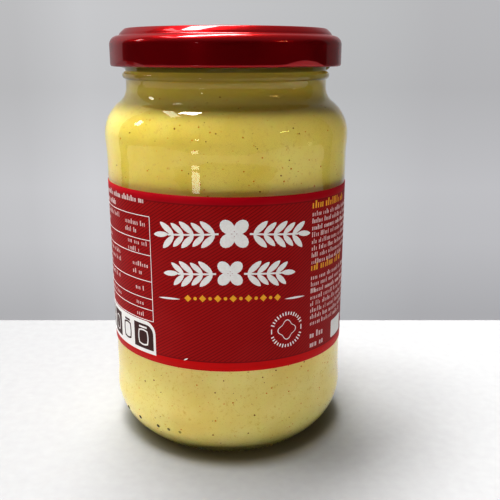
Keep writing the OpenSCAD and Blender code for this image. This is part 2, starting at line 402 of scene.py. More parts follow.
def pasteMaterial():
    material, tree, shader = newMaterial("mustard paste")
    points = objectPoints(tree)
    slow = addNoise(tree, points, 55, 3.0, 0.55)
    fine = addNoise(tree, points, 900, 3.0, 0.7)
    grains = addNode(tree, "ShaderNodeTexVoronoi", {"Scale": 1300})
    tree.links.new(points, grains.inputs["Vector"])
    parts = splitPoint(tree, points)
    base = mixColours(tree, bandRamp(tree, slow, (0.35, 0.65)), paste["deep"], paste["pale"])
    tall = mathNode(tree, "MULTIPLY", parts[2], paste["bandScale"])
    # painted reflection: paler, bluer paste towards the bottom for the floor's haze in the glass
    floorHazeMask = bandRamp(tree, tall, paste["floorHazeBand"], white, black)
    base = mixColours(tree, 0.6, base, mixColours(tree, floorHazeMask, paste["colour"], paste["low"]))
    flecks = bandRamp(tree, fine, (0.30, 0.42), white, black)
    grit = bandRamp(tree, grains.outputs["Distance"], (0.0, 0.22), white, black)
    grainy = mixColours(tree, grit, mixColours(tree, flecks, base, paste["fleck"]), paste["grit"])
    # painted shadow of the lid on the paste: darker above a line slanting lower to the right, darkest just
    # under the lid's lower edge
    lidShadowHeight = mathNode(tree, "ADD", tall, mathNode(tree, "MULTIPLY", parts[0], paste["lidShadowSlant"]))
    lidShadowMask = bandRamp(tree, lidShadowHeight, paste["lidShadowBand"], interpolation="EASE")
    lidShadowCoreMask = bandRamp(tree, tall, paste["lidShadowCoreBand"], interpolation="EASE")
    lidShadowedPaste = mixColours(tree, lidShadowMask, grainy, paste["lidShadow"])
    tree.links.new(mixColours(tree, lidShadowCoreMask, lidShadowedPaste, paste["lidShadowCore"]), shader.inputs["Base Color"])
    shader.inputs["Roughness"].default_value = 0.6
    shader.inputs["Specular IOR Level"].default_value = 0.0
    shader.inputs["Subsurface Weight"].default_value = paste["glow"]
    shader.inputs["Subsurface Radius"].default_value = paste["reach"]
    shader.inputs["Subsurface Scale"].default_value = paste["reachScale"]
    return material


bm = turnOutline(cavityOutline(pasteTop, paste["grow"]) + [(0, pasteTop)], paste["steps"])
makePiece(bm, "mustardPaste", pasteMaterial(), "mustard")


# radius of the paste's surface at a height
def pasteRadius(z):
    outline = cavityOutline(pasteTop, paste["grow"])
    for (r0, z0), (r1, z1) in zip(outline[1:], outline[2:]):
        if z0 <= z <= z1:
            return r0 + (r1 - r0) * (z - z0) / max(1e-6, z1 - z0)
    return boreRadius


# flat scraps of husk, strewn where the label leaves the paste in sight
def speckPiece(name, count, seed, colour):
    maker = random.Random(seed)
    bm = bmesh.new()
    low = labelLow.z / mm + paste["labelMargin"]
    high = labelHigh.z / mm - paste["labelMargin"]
    for _ in range(count):
        z = maker.uniform(paste["speckFoot"], paste["speckTop"])
        while low < z < high:
            z = maker.uniform(paste["speckFoot"], paste["speckTop"])
        turn = maker.uniform(0, 360)
        spread = paste["largest"] - paste["smallest"]
        size = paste["smallest"] + spread * maker.random() ** paste["sizePower"]
        r = pasteRadius(z) + paste["proud"]
        steep = math.atan2(pasteRadius(z + 0.2) - pasteRadius(z - 0.2), 0.4)
        roll = maker.uniform(0, math.pi)
        length = size * maker.uniform(paste["shortest"], paste["longest"])
        place = Matrix.Rotation(math.radians(turn), 4, "Z")
        place @= Matrix.Translation((0, -r * mm, z * mm))
        place @= Matrix.Rotation(steep, 4, "X")
        place @= Matrix.Rotation(roll, 4, "Y")
        place @= Matrix.Diagonal((length * mm, paste["flat"] * mm, size * mm, 1))
        bmesh.ops.create_icosphere(bm, subdivisions=1, radius=1, matrix=place)
    material, tree, shader = newMaterial(name + " colour")
    mottled = addNoise(tree, objectPoints(tree), 260, 1.0)
    darker = tuple(c * paste["shadeOfHusk"] for c in colour[:3]) + (1,)
    tree.links.new(mixColours(tree, mottled, darker, colour), shader.inputs["Base Color"])
    shader.inputs["Roughness"].default_value = 0.8
    shader.inputs["Specular IOR Level"].default_value = 0.0
    makePiece(bm, name, material)


speckPiece("darkSpecks", paste["darkSpecks"], paste["seed"], paste["darkHusk"])
speckPiece("warmSpecks", paste["warmSpecks"], paste["seed"] + 1, paste["warmHusk"])
print("mustard jar: paste filled in")

# the lid
lid = {
    "sheet": 0.35, "round": 2.6, "step": 2.0, "dish": 1.1, "steps": 360,
    "curl": 0.63, "curlInset": 0.02, "curlTurn": 250, "curlGap": 0.15,
    "crestSlack": 0.25, "crestNarrow": 0.1, "crestRound": 0.8, "crestFrom": 160, "crestTo": 47.2,
    "flank": ((0.80, 1.2), (1.0, 1.5), (1.18, 1.8), (1.36, 1.97)),  # out from the crest, down from its top
    "button": 11.5, "buttonEdge": 1.0, "buttonRise": 0.45, "buttonFall": 0.3, "buttonSteps": 8,
    "lugs": 4, "lugAngle": 40, "lugWidth": 9, "lugReach": 1, "lugFoot": 0.2, "lugInset": 1.2, "lugGap": 0.15,
    "dentHalf": 8.8, "dentHigh": 1.75, "dentSlope": 0.34,
    "paint": (0.32, 0.001, 0.005, 1), "paler": (0.38, 0.002, 0.008, 1), "fleck": (0.56, 0.012, 0.02, 1),
    "metal": 0.75, "rough": 0.28, "roughSpread": 0.08, "edgeTint": (0.3, 0.02, 0.025, 1),
    "lacquer": 0.65, "lacquerRough": 0.05,
}
crestZ = lidHigh.z / mm
lidZ = lidLow.z / mm
lidRadius = (lidHigh.x - lidLow.x) / 2 / mm
lidInside = lidRadius - lid["sheet"]
stepZ = crestZ - lid["step"]
dishZ = crestZ - lid["dish"]
lidCentreR = lidRadius - lid["round"]
lidCentreZ = stepZ - lid["round"]
crestOut = glass["neckRadius"] + lid["crestSlack"]
crestIn = boreRadius - lid["crestNarrow"]


def lidOutline():
    curlR = lidRadius - lid["curl"] - lid["curlInset"]
    curlZ = lidZ + lid["curl"]
    edge = lid["crestRound"]
    steps = lid["buttonSteps"]
    button = []
    for i in range(steps + 1):
        rise = lid["buttonRise"] * (1 - lid["buttonFall"] * (i / steps) ** 2)
        button.append((lid["button"] * i / steps, dishZ + rise))
    buttonFoot = (lid["button"] + lid["buttonEdge"], dishZ)
    top = button + [buttonFoot, (crestIn - 1.2, dishZ), (crestIn - 0.5, dishZ + 0.05)]
    top += arcPoints(crestIn + edge, crestZ - edge, edge, lid["crestFrom"], 90, 8)
    top += arcPoints(crestOut - edge, crestZ - edge, edge, 90, lid["crestTo"], 8)
    top += [(crestOut + out, crestZ - down) for out, down in lid["flank"]]
    top += arcPoints(lidCentreR, lidCentreZ, lid["round"], 90, 0, 14)
    skirt = levels(lidRadius, lidCentreZ - 0.5, lidZ + 2.6, 4)
    skirt += levels(lidRadius, lidZ + 2.35, curlZ + 0.1, 8)
    curl = arcPoints(curlR, curlZ, lid["curl"], 0, -lid["curlTurn"], 18)
    inside = levels(lidInside, lidZ + 2 * lid["curl"] + lid["curlGap"], lidCentreZ, 6)
    inside += arcPoints(lidCentreR, lidCentreZ, lid["round"] - lid["sheet"], 0, 90, 8)
    inside += [(glass["neckRadius"] + 0.1, jarTop), (boreRadius - 0.35, jarTop)]
    inside += [(boreRadius - 0.6, dishZ - lid["sheet"])]
    under = [(r, z - lid["sheet"]) for r, z in [buttonFoot] + button[::-1]]
    return top + skirt + curl + inside + under


# the lugs are pressed in from outside, which leaves a flat crescent at the skirt's lower edge
def pressLugs(bm):
    half = 180 / lid["lugs"]
    for vert in bm.verts:
        r = math.hypot(vert.co.x, vert.co.y) / mm
        z = vert.co.z / mm
        if z > lidZ + lid["dentHigh"] or r < lidInside - 2:
            continue
        apart = (azimuth(vert.co) - lid["lugAngle"] + half) % (2 * half) - half
        along = math.radians(apart) * lidRadius / lid["dentHalf"]
        if abs(along) >= 1:
            continue
        high = lid["dentHigh"] * (1 - along ** 2)
        push = max(0, lidZ + high - z) * lid["dentSlope"]
        vert.co.x *= (r - push) / r
        vert.co.y *= (r - push) / r


# each lug is a tab that hooks in under a thread ridge
def addLugs(bm):
    inner = glass["neckRadius"] + glass["threadOut"] - lid["lugReach"]
    outer = lidRadius - lid["lugInset"]
    foot = lidZ + lid["lugFoot"]
    width = lid["lugWidth"] / lidRadius
    share = (lid["lugAngle"] - glass["threadAngle"]) / glass["threadSweep"]
    ridge = beadZ + glass["threadStart"] + glass["threadRise"] * share
    high = ridge - glass["threadCrest"] / 2 - glass["threadFoot"] - lid["lugGap"]
    for i in range(lid["lugs"]):
        start = math.radians(lid["lugAngle"] - 90 + 360 / lid["lugs"] * i) - width / 2
        corners = [(inner, foot), (outer, foot), (outer, high), (inner, high)]
        verts = []
        for r, z in corners:
            verts.append(bm.verts.new((r * mm * math.cos(start), r * mm * math.sin(start), z * mm)))
        face = bm.faces.new(verts)
        bmesh.ops.spin(bm, geom=[face], cent=(0, 0, 0), axis=(0, 0, 1), dvec=(0, 0, 0), angle=width,
                       steps=8, use_merge=False, use_duplicate=False)


def lidMaterial():
    material, tree, shader = newMaterial("red lacquer")
    points = objectPoints(tree)
    cloud = addNoise(tree, points, 45, 3.0)
    specks = addNoise(tree, points, 2600, 2.0, 0.7)
    red = mixColours(tree, cloud, lid["paint"], lid["paler"])
    red = mixColours(tree, bandRamp(tree, specks, (0.68, 0.74)), red, lid["fleck"])
    tree.links.new(red, shader.inputs["Base Color"])
    shader.inputs["Metallic"].default_value = lid["metal"]
    tree.links.new(stretch(tree, cloud, lid["roughSpread"], lid["rough"]), shader.inputs["Roughness"])
    shader.inputs["Specular Tint"].default_value = lid["edgeTint"]
    shader.inputs["Coat Weight"].default_value = lid["lacquer"]
    shader.inputs["Coat Roughness"].default_value = lid["lacquerRough"]
    shader.inputs["Coat IOR"].default_value = 1.5
    addBump(tree, shader, addNoise(tree, points, 700, 2.0), 0.05, 0.0002)
    return material


bm = turnOutline(lidOutline(), lid["steps"])
pressLugs(bm)
addLugs(bm)
bmesh.ops.recalc_face_normals(bm, faces=bm.faces)
makePiece(bm, "pressedLid", lidMaterial(), "lid")
print("mustard jar: lid pressed")

# the label, a sheet that is wrapped a little askew
label = {
    "thick": 0.12, "overlap": 8, "lapGap": 0.012, "lapRun": 4, "columns": 176, "rows": 26,
    "skewX": -0.0129, "skewY": -0.0199,
    "bandTop": 2.35, "bandBottom": 2.5, "edgeBelow": 0.006, "edgeAbove": 0.008,
    "hatchPitch": 0.82, "hatchRise": 33, "hatchLine": (0.62, 0.95),
    "field": (0.36, 0.005, 0.006, 1), "hatch": (0.19, 0.002, 0.003, 1),
    "band": (0.54, 0.002, 0.003, 1), "topBand": (0.37, 0.001, 0.010, 1), "edge": (0.22, 0.003, 0.005, 1),
    "bloom": (0.5, 0.05, 0.05, 1), "bloomMost": (0.12, 0.12, 0.12, 1),
}
skewSpan = panelRadius * math.hypot(label["skewX"], label["skewY"])
labelFoot = labelLow.z / mm + skewSpan
labelTop = labelHigh.z / mm - skewSpan
labelTall = labelTop - labelFoot
labelHalf = math.pi * panelRadius + label["overlap"] / 2
labelSpan = 2 * labelHalf


# bends a flat layout onto the jar: x runs round it, z up it, and -y stands out from it
def wrapOnJar(bm):
    for vert in bm.verts:
        along, out, z = vert.co.x, -vert.co.y, vert.co.z
        turn = along / (panelRadius * mm)
        r = panelRadius * mm + out
        x = r * math.sin(turn)
        y = -r * math.cos(turn)
        vert.co = (x, y, z + label["skewX"] * x + label["skewY"] * y)
    bmesh.ops.recalc_face_normals(bm, faces=bm.faces)


# a flat shape gets its thickness here: the lowest layer stands out from the panel by base
def standOut(bm, base):
    high = max(vert.co.y for vert in bm.verts)
    for vert in bm.verts:
        vert.co.y = -(base * mm + high - vert.co.y)


# where a flat shape lies: u round the jar, v above the label's foot, turned in the sheet
def onSheet(u, v, wide=1.0, tall=1.0, turn=0.0):
    return (Matrix.Translation((u * mm, 0, (labelFoot + v) * mm)) @ Matrix.Rotation(-turn, 4, "Y")
            @ Matrix.Diagonal((wide * mm, 1, tall * mm, 1)))


def labelMaterial():
    material, tree, shader = newMaterial("printed paper")
    place = addNode(tree, "ShaderNodeUVMap", uv_map="flat")
    parts = splitPoint(tree, place.outputs["UV"])
    along = mathNode(tree, "MULTIPLY", parts[0], labelSpan)
    up = mathNode(tree, "MULTIPLY", parts[1], labelTall)
    rise = math.radians(label["hatchRise"])
    slide = mathNode(tree, "MULTIPLY", along, -math.sin(rise))
    across = mathNode(tree, "ADD", slide, mathNode(tree, "MULTIPLY", up, math.cos(rise)))
    wave = mathNode(tree, "SINE", mathNode(tree, "MULTIPLY", across, 2 * math.pi / label["hatchPitch"]))
    lines = bandRamp(tree, stretch(tree, wave, 0.5, 0.5), label["hatchLine"])
    points = objectPoints(tree)
    cloud = addNoise(tree, points, 60, 3.0)
    fibre = addNoise(tree, points, 1500, 3.0, 0.7)
    field = mixColours(tree, lines, label["field"], label["hatch"])
    low = label["bandBottom"] / labelTall
    high = 1 - label["bandTop"] / labelTall
    bands = addRamp(tree, parts[1], [(0, white), (low, black), (high, white)], "CONSTANT")
    upper = addRamp(tree, parts[1], [(0, black), (high, white)], "CONSTANT")
    bandRed = mixColours(tree, upper, label["band"], label["topBand"])
    lowEdge = [(low, white), (low + label["edgeBelow"], black)]
    highEdge = [(high - label["edgeAbove"], white), (high, black)]
    edges = addRamp(tree, parts[1], [(0, black)] + lowEdge + highEdge, "CONSTANT")
    colour = mixColours(tree, edges, mixColours(tree, bands, field, bandRed), label["edge"])
    bloom = bandRamp(tree, cloud, (0.4, 0.8), black, label["bloomMost"])
    tree.links.new(mixColours(tree, bloom, colour, label["bloom"]), shader.inputs["Base Color"])
    tree.links.new(stretch(tree, fibre, 0.2, 0.34), shader.inputs["Roughness"])
    shader.inputs["Specular IOR Level"].default_value = 0.08
    addBump(tree, shader, fibre, 0.12, 0.0001)
    return material


def labelSheet():
    bm = bmesh.new()
    flat = Matrix.Translation((0, 0, (labelFoot + labelTall / 2) * mm))
    flat @= Matrix.Rotation(math.pi / 2, 4, "X")
    flat @= Matrix.Diagonal((labelSpan * mm, labelTall * mm, 1, 1))
    bmesh.ops.create_grid(bm, x_segments=label["columns"], y_segments=label["rows"], size=0.5, matrix=flat)
    bmesh.ops.solidify(bm, geom=bm.faces, thickness=label["thick"] * mm)
    uv = bm.loops.layers.uv.new("flat")
    for face in bm.faces:
        for loop in face.loops:
            co = loop.vert.co / mm
            loop[uv].uv = (co.x / labelSpan + 0.5, (co.z - labelFoot) / labelTall)
    standOut(bm, 0)
    lapStart = labelHalf - label["overlap"] - 5
    for vert in bm.verts:
        lapped = smooth((vert.co.x / mm - lapStart) / label["lapRun"])
        vert.co.y -= lapped * (label["thick"] + label["lapGap"]) * mm
    wrapOnJar(bm)
    return bm


makePiece(labelSheet(), "paperLabel", labelMaterial(), "label")
print("mustard jar: label wrapped")


# the print: simple shapes in millimetres, laid out flat and bent onto the paper
ink = {
    "thick": 0.045, "sink": 0.012, "layer": 0.012, "strip": 1.4,
    "archRadius": 161, "archMiddle": 3, "point": 0.45,
    "white": (0.80, 0.79, 0.77, 1), "whiteWorn": (0.74, 0.70, 0.68, 1),
    "fine": (0.72, 0.58, 0.56, 1), "fineWorn": (0.60, 0.42, 0.40, 1),
    "yellow": (0.80, 0.42, 0.03, 1), "yellowWorn": (0.72, 0.33, 0.02, 1),
    "dark": (0.055, 0.016, 0.014, 1), "darkWorn": (0.08, 0.025, 0.02, 1),
}


# the lines across the front sag in an arch
def archDrop(u):
    return (u - ink["archMiddle"]) ** 2 / (2 * ink["archRadius"])


def archTurn(u):
    return -(u - ink["archMiddle"]) / ink["archRadius"]


def bar(bm, u, v, wide, tall, turn=0.0):
    steps = max(1, math.ceil(wide / ink["strip"]))
    place = onSheet(u, v, wide, tall, turn) @ Matrix.Rotation(math.pi / 2, 4, "X")
    bmesh.ops.create_grid(bm, x_segments=steps, y_segments=1, size=0.5, matrix=place)


# an ellipse, drawn out to a point at both ends as point rises from 0 to 1
def leaf(bm, u, v, wide, tall, turn=0.0, point=0.0, segments=14):
    verts = bmesh.ops.create_circle(bm, cap_ends=True, segments=segments, radius=1)["verts"]
    place = onSheet(u, v, wide / 2, tall / 2, turn)
    for vert in verts:
        vert.co = place @ Vector((vert.co.x, 0, vert.co.y * abs(vert.co.y) ** point))


# a closed line: round, squared off or lobed
def ringLine(bm, u, v, wide, tall, line, square=0.0, lobes=0, lobeDepth=0.0):
    outer = bmesh.ops.create_circle(bm, cap_ends=False, segments=40, radius=1)["verts"]
    edges = list({edge for vert in outer for edge in vert.link_edges})
    made = bmesh.ops.extrude_edge_only(bm, edges=edges)["geom"]
    inner = [item for item in made if isinstance(item, bmesh.types.BMVert)]
    for verts, shrink in ((outer, 0), (inner, line)):
        for vert in verts:
            turn = math.atan2(vert.co.y, vert.co.x)
            swell = 1 + lobeDepth * math.cos(lobes * turn)
            swell *= 1 + square * (1 / max(abs(math.cos(turn)), abs(math.sin(turn))) - 1)
            x = math.cos(turn) * swell * (wide / 2 - shrink)
            z = math.sin(turn) * swell * (tall / 2 - shrink)
            vert.co = onSheet(u, v) @ Vector((x, 0, z))


def flower(bm, u, v, size):
    for i in range(4):
        way = math.pi / 4 + math.pi / 2 * i
        reach = 0.30 * size
        leaf(bm, u + reach * math.cos(way), v + reach * math.sin(way), 0.50 * size, 0.40 * size, way)
    leaf(bm, u, v, 0.13 * size, 0.13 * size)


# a sprig: a stem along the arch with pairs of leaves that point away from its middle
def sprig(bm, row):
    middle = (row["from"] + row["to"]) / 2
    for side in (-1, 1):
        end = row["to"] if side > 0 else row["from"]
        start = middle + side * row["gap"]
        half = (start + end) / 2
        bar(bm, half, row["v"] - archDrop(half), abs(end - start), row["stem"], archTurn(half))
        for i in range(row["pairs"]):
            u = start + (end - start) * (i + 0.3) / row["pairs"]
            size = row["leaf"] * (1 - 0.10 * (i % 2))
            reach = size * 0.54
            for up in (-1, 1):
                lean = row["lean"] * up * side + (0 if side > 0 else math.pi) + archTurn(u)
                along = u + math.cos(lean) * reach
                high = row["v"] - archDrop(u) + math.sin(lean) * reach
                leaf(bm, along, high, size, size * row["plump"], lean, ink["point"])
        tip = row["leaf"] * 0.9
        slim = row["leaf"] * row["plump"] * 0.9
        along = end + side * row["leaf"] * 0.42
        leaf(bm, along, row["v"] - archDrop(end), tip, slim, archTurn(end), ink["point"])


# lines of small print, as words made of short strokes
def smallPrint(bm, block, seed):
    maker = random.Random(seed)
    for i in range(block["lines"]):
        v = block["v"] - block["pitch"] * i
        u = block["u"]
        end = block["u"] + block["wide"] * (1 if i < block["lines"] - 1 else 0.6)
        heavy = i in block.get("heavy", ())
        while u < end:
            for _ in range(maker.randint(2, 8)):
                if u >= end:
                    break
                tall = block["tall"] * maker.choice((0.62, 0.66, 0.7, 1.0))
                wide = block["stroke"] * (1.45 if heavy else 1) * maker.uniform(0.8, 1.5)
                bar(bm, u, v + tall / 2, min(wide, block["step"] * 0.8), tall, archTurn(u) * 0.2)
                u += block["step"] * maker.uniform(0.85, 1.2)
            u += block["step"] * 0.9


# cuts flat shapes into upright strips, so that they bend without dipping into the paper
def cleave(bm):
    low = min(vert.co.x for vert in bm.verts) / mm
    high = max(vert.co.x for vert in bm.verts) / mm
    u = low + ink["strip"]
    while u < high:
        everything = bm.verts[:] + bm.edges[:] + bm.faces[:]
        bmesh.ops.bisect_plane(bm, geom=everything, plane_co=(u * mm, 0, 0), plane_no=(1, 0, 0))
        u += ink["strip"]


def inkPiece(bm, name, material, layer=0):
    bm.normal_update()
    bmesh.ops.reverse_faces(bm, faces=[face for face in bm.faces if face.normal.y > 0])
    bmesh.ops.solidify(bm, geom=bm.faces, thickness=ink["thick"] * mm)
    standOut(bm, label["thick"] - ink["sink"] + layer * ink["layer"])
    wrapOnJar(bm)
    makePiece(bm, name, material, smoothFaces=False)


def inkMaterial(name, colour, worn):
    material, tree, shader = newMaterial(name)
    fibre = addNoise(tree, objectPoints(tree), 1800, 3.0, 0.7)
    patches = bandRamp(tree, fibre, (0.35, 0.75))
    tree.links.new(mixColours(tree, patches, colour, worn), shader.inputs["Base Color"])
    tree.links.new(stretch(tree, fibre, 0.2, 0.4), shader.inputs["Roughness"])
    shader.inputs["Specular IOR Level"].default_value = 0.2
    addBump(tree, shader, fibre, 0.1, 0.0001)
    return material


whiteInk = inkMaterial("white ink", ink["white"], ink["whiteWorn"])
fineInk = inkMaterial("small white print", ink["fine"], ink["fineWorn"])
yellowInk = inkMaterial("yellow ink", ink["yellow"], ink["yellowWorn"])
darkInk = inkMaterial("dark ink", ink["dark"], ink["darkWorn"])

# two white sprigs across the front, each with a flower in its middle
bm = bmesh.new()
leaves = {"plump": 0.35, "lean": 0.74, "stem": 0.55}
sprigs = (
    {"from": -15.8, "to": 21.8, "v": 40.4, "gap": 4.2, "pairs": 5, "leaf": 5.3, **leaves},
    {"from": -13.0, "to": 16.6, "v": 29.2, "gap": 3.8, "pairs": 4, "leaf": 5.2, **leaves},
)
for row in sprigs:
    sprig(bm, row)
flower(bm, 3.0, 40.6, 9.0)
flower(bm, 1.8, 29.4, 8.0)

# tapered dashes on both sides of the yellow row
dashes = (
    {"u": -16.0, "v": 20.85, "turn": 0.06},
    {"u": 21.2, "v": 20.7, "turn": -0.03},
)
for dash in dashes:
    leaf(bm, dash["u"], dash["v"], 7.0, 0.62, dash["turn"], 0.6, 24)

# a round mark: a ring of strokes about a lobed outline
stamp = {
    "u": 18.6, "v": 11.35, "radius": 4.95, "strokes": 34, "gaps": (0, 1, 16, 17, 18, 33),
    "wide": 0.4, "tall": 1.15, "short": 0.8, "middle": 5.4, "line": 0.26, "lobes": 4, "lobeDepth": 0.16,
}
for i in range(stamp["strokes"]):
    way = 2 * math.pi * i / stamp["strokes"]
    if i in stamp["gaps"]:
        continue
    tall = stamp["tall"] * (stamp["short"] if i % 3 else 1)
    u = stamp["u"] + stamp["radius"] * math.cos(way)
    v = stamp["v"] + stamp["radius"] * math.sin(way)
    bar(bm, u, v, stamp["wide"], tall, way - math.pi / 2)
for side in (-1, 1):
    bar(bm, stamp["u"] + side * stamp["radius"], stamp["v"], 0.35, 1.5)
ringLine(bm, stamp["u"], stamp["v"], stamp["middle"], stamp["middle"], stamp["line"],
         lobes=stamp["lobes"], lobeDepth=stamp["lobeDepth"])
leaf(bm, -11.3, 2.9, 1.5, 0.4, 0.5, 0.6)

# a table of thin lines to the left
table = {"left": -60, "right": -21.9, "rows": (43.7, 36.8, 32.4, 24.6, 19.3, 15.9, 12.5), "line": 0.24}
for v in table["rows"]:
    bar(bm, (table["left"] + table["right"]) / 2, v, table["right"] - table["left"], table["line"])
foot = table["rows"][-1]
for u in (table["left"], table["right"]):
    bar(bm, u, (table["rows"][0] + foot) / 2, table["line"], table["rows"][0] - foot)
cleave(bm)
inkPiece(bm, "printWhite", whiteInk)


# a flat field; rounded pairs the number of a corner with its radius
def field(bm, u0, v0, u1, v1, rounded=()):
    corners = [onSheet(u, v) @ Vector((0, 0, 0)) for u, v in ((u0, v0), (u1, v0), (u1, v1), (u0, v1))]
    verts = [bm.verts.new(corner) for corner in corners]
    bm.faces.new(verts)
    for index, radius in rounded:
        bmesh.ops.bevel(bm, geom=[verts[index]], offset=radius * mm, offset_type="OFFSET", segments=6,
                        profile=0.5, affect="VERTICES", material=-1)


# white panels with small squares for plain container signs
bm = bmesh.new()
field(bm, -60, 2.0, -21.3, 12.1, [(2, 3.5)])
field(bm, 84, 8, 108, 24, [(corner, 1) for corner in range(4)])
cleave(bm)
inkPiece(bm, "printPanel", whiteInk)
bm = bmesh.new()
field(bm, -30.5, 3.2, -22.2, 10.9, [(2, 2.6)])
field(bm, -45.6, 3.2, -38.9, 10.9)
field(bm, -56, 3.2, -47.5, 10.9)
cleave(bm)
ringLine(bm, -34.5, 6.9, 4.4, 5.6, 0.5, square=0.55)
bar(bm, -34.5, 10.2, 3.0, 0.6)
inkPiece(bm, "printDark", darkInk, 1)
bm = bmesh.new()
ringLine(bm, -26.4, 6.7, 4.6, 5.2, 0.5, square=0.5)
bar(bm, -26.4, 9.9, 3.4, 0.6)
ringLine(bm, -42.2, 6.9, 3.6, 5.2, 0.45, square=0.3)
ringLine(bm, -51.7, 6.9, 4.6, 4.6, 0.45)
inkPiece(bm, "printSigns", whiteInk, 2)

# small print: the table's rows, and columns on the right and round the back
bm = bmesh.new()
rowPrint = {"pitch": 2.4, "tall": 1.4, "stroke": 0.3, "step": 0.8}
rowNumber = {"pitch": 2.4, "tall": 1.4, "stroke": 0.34, "step": 0.85}
columnPrint = {"pitch": 2.02, "tall": 1.45, "stroke": 0.3, "step": 0.76}
datePrint = {"pitch": 3, "tall": 2.0, "stroke": 0.5, "step": 1.05, "heavy": (0,)}
headingPrint = {"pitch": 3, "tall": 2.2, "stroke": 0.5, "step": 1.05}
blocks = (
    {"u": -58, "v": 47.3, "wide": 34, "lines": 2,
     "pitch": 2.6, "tall": 1.7, "stroke": 0.36, "step": 0.86, "heavy": (0, 1)},
    {"u": -58, "v": 41.4, "wide": 22, "lines": 2, **rowPrint, "tall": 1.5},
    {"u": -32.6, "v": 40.6, "wide": 9, "lines": 2, "pitch": 2.3, "tall": 1.5, "stroke": 0.32, "step": 0.8},
    {"u": -58, "v": 34.0, "wide": 22, "lines": 1, **rowPrint, "tall": 1.5},
    {"u": -31.5, "v": 35.0, "wide": 8.2, "lines": 2, "pitch": 2.2, "tall": 1.4, "stroke": 0.32, "step": 0.8},
    {"u": -58, "v": 30.2, "wide": 21, "lines": 3, **rowPrint, "pitch": 2.3},
    {"u": -29.5, "v": 28.6, "wide": 6.4, "lines": 2, **rowNumber},
    {"u": -58, "v": 22.5, "wide": 20, "lines": 2, **rowPrint},
    {"u": -28.5, "v": 21.4, "wide": 5.4, "lines": 1, **rowNumber},
    {"u": -28.5, "v": 16.9, "wide": 5.4, "lines": 1, **rowNumber},
    {"u": -28.5, "v": 13.4, "wide": 5.4, "lines": 1, **rowNumber},
    {"u": -58, "v": 17.0, "wide": 20, "lines": 2, **rowPrint, "pitch": 3.4},
    {"u": 27.4, "v": 43.7, "wide": 33, "lines": 8, **columnPrint, "heavy": (2,)},
    {"u": 27.4, "v": 24.8, "wide": 33, "lines": 8, **columnPrint, "heavy": (2,)},
    {"u": 27.6, "v": 6.6, "wide": 10, "lines": 1, **datePrint},
    {"u": 27.8, "v": 3.6, "wide": 10, "lines": 1, **datePrint},
    {"u": 50, "v": 6.6, "wide": 11, "lines": 2, "pitch": 2.6, "tall": 1.5, "stroke": 0.34, "step": 0.85},
    {"u": 66, "v": 43.7, "wide": 40, "lines": 8, **columnPrint, "heavy": (2,)},
    {"u": 66, "v": 24.8, "wide": 16, "lines": 9, **columnPrint, "heavy": (0,)},
    {"u": -106, "v": 43.7, "wide": 42, "lines": 10, **columnPrint, "heavy": (4,)},
    {"u": -106, "v": 18.8, "wide": 42, "lines": 7, **columnPrint},
)
for index, block in enumerate(blocks):
    smallPrint(bm, block, index)
inkPiece(bm, "printSmall", fineInk)

# headings and the row of beads under the sprigs are yellow
bm = bmesh.new()
headings = (
    {"u": 27.4, "v": 46.0, "wide": 32, "lines": 1, **headingPrint},
    {"u": 27.4, "v": 27.6, "wide": 30, "lines": 1, **headingPrint},
    {"u": 66, "v": 46.0, "wide": 30, "lines": 1, **headingPrint},
    {"u": -106, "v": 46.0, "wide": 34, "lines": 1, **headingPrint},
    {"u": -106, "v": 21.2, "wide": 30, "lines": 1, **headingPrint},
)
for index, block in enumerate(headings):
    smallPrint(bm, block, index + 50)
beads = {"from": -10.2, "to": 15.4, "count": 13, "v": 22.1, "size": 2.1}
for i in range(beads["count"]):
    u = beads["from"] + (beads["to"] - beads["from"]) * i / (beads["count"] - 1)
    if i % 2:
        leaf(bm, u, beads["v"] - archDrop(u), beads["size"] * 0.5, beads["size"] * 0.5)
    else:
        leaf(bm, u, beads["v"] - archDrop(u), beads["size"], beads["size"], segments=4)
inkPiece(bm, "printYellow", yellowInk)
bm = bmesh.new()
field(bm, 38.8, 3.3, 47.8, 9.0, [(corner, 0.6) for corner in range(4)])
cleave(bm)
inkPiece(bm, "printBlock", whiteInk)
print("mustard jar: label printed")

# camera and room; the camera's place in millimetres, the rest in metres
view = {"place": (7.245, -216.69, 117.98), "down": 15.86, "lens": 49.54, "sensor": 36, "nearest": 0.01}
camera = bpy.data.objects.new("camera", bpy.data.cameras.new("camera"))
bpy.context.scene.collection.objects.link(camera)
camera.data.lens = view["lens"]
camera.data.sensor_width = view["sensor"]
camera.data.clip_start = view["nearest"]
camera.location = [part * mm for part in view["place"]]
camera.rotation_euler = (math.radians(90 - view["down"]), 0, 0)
bpy.context.scene.camera = camera

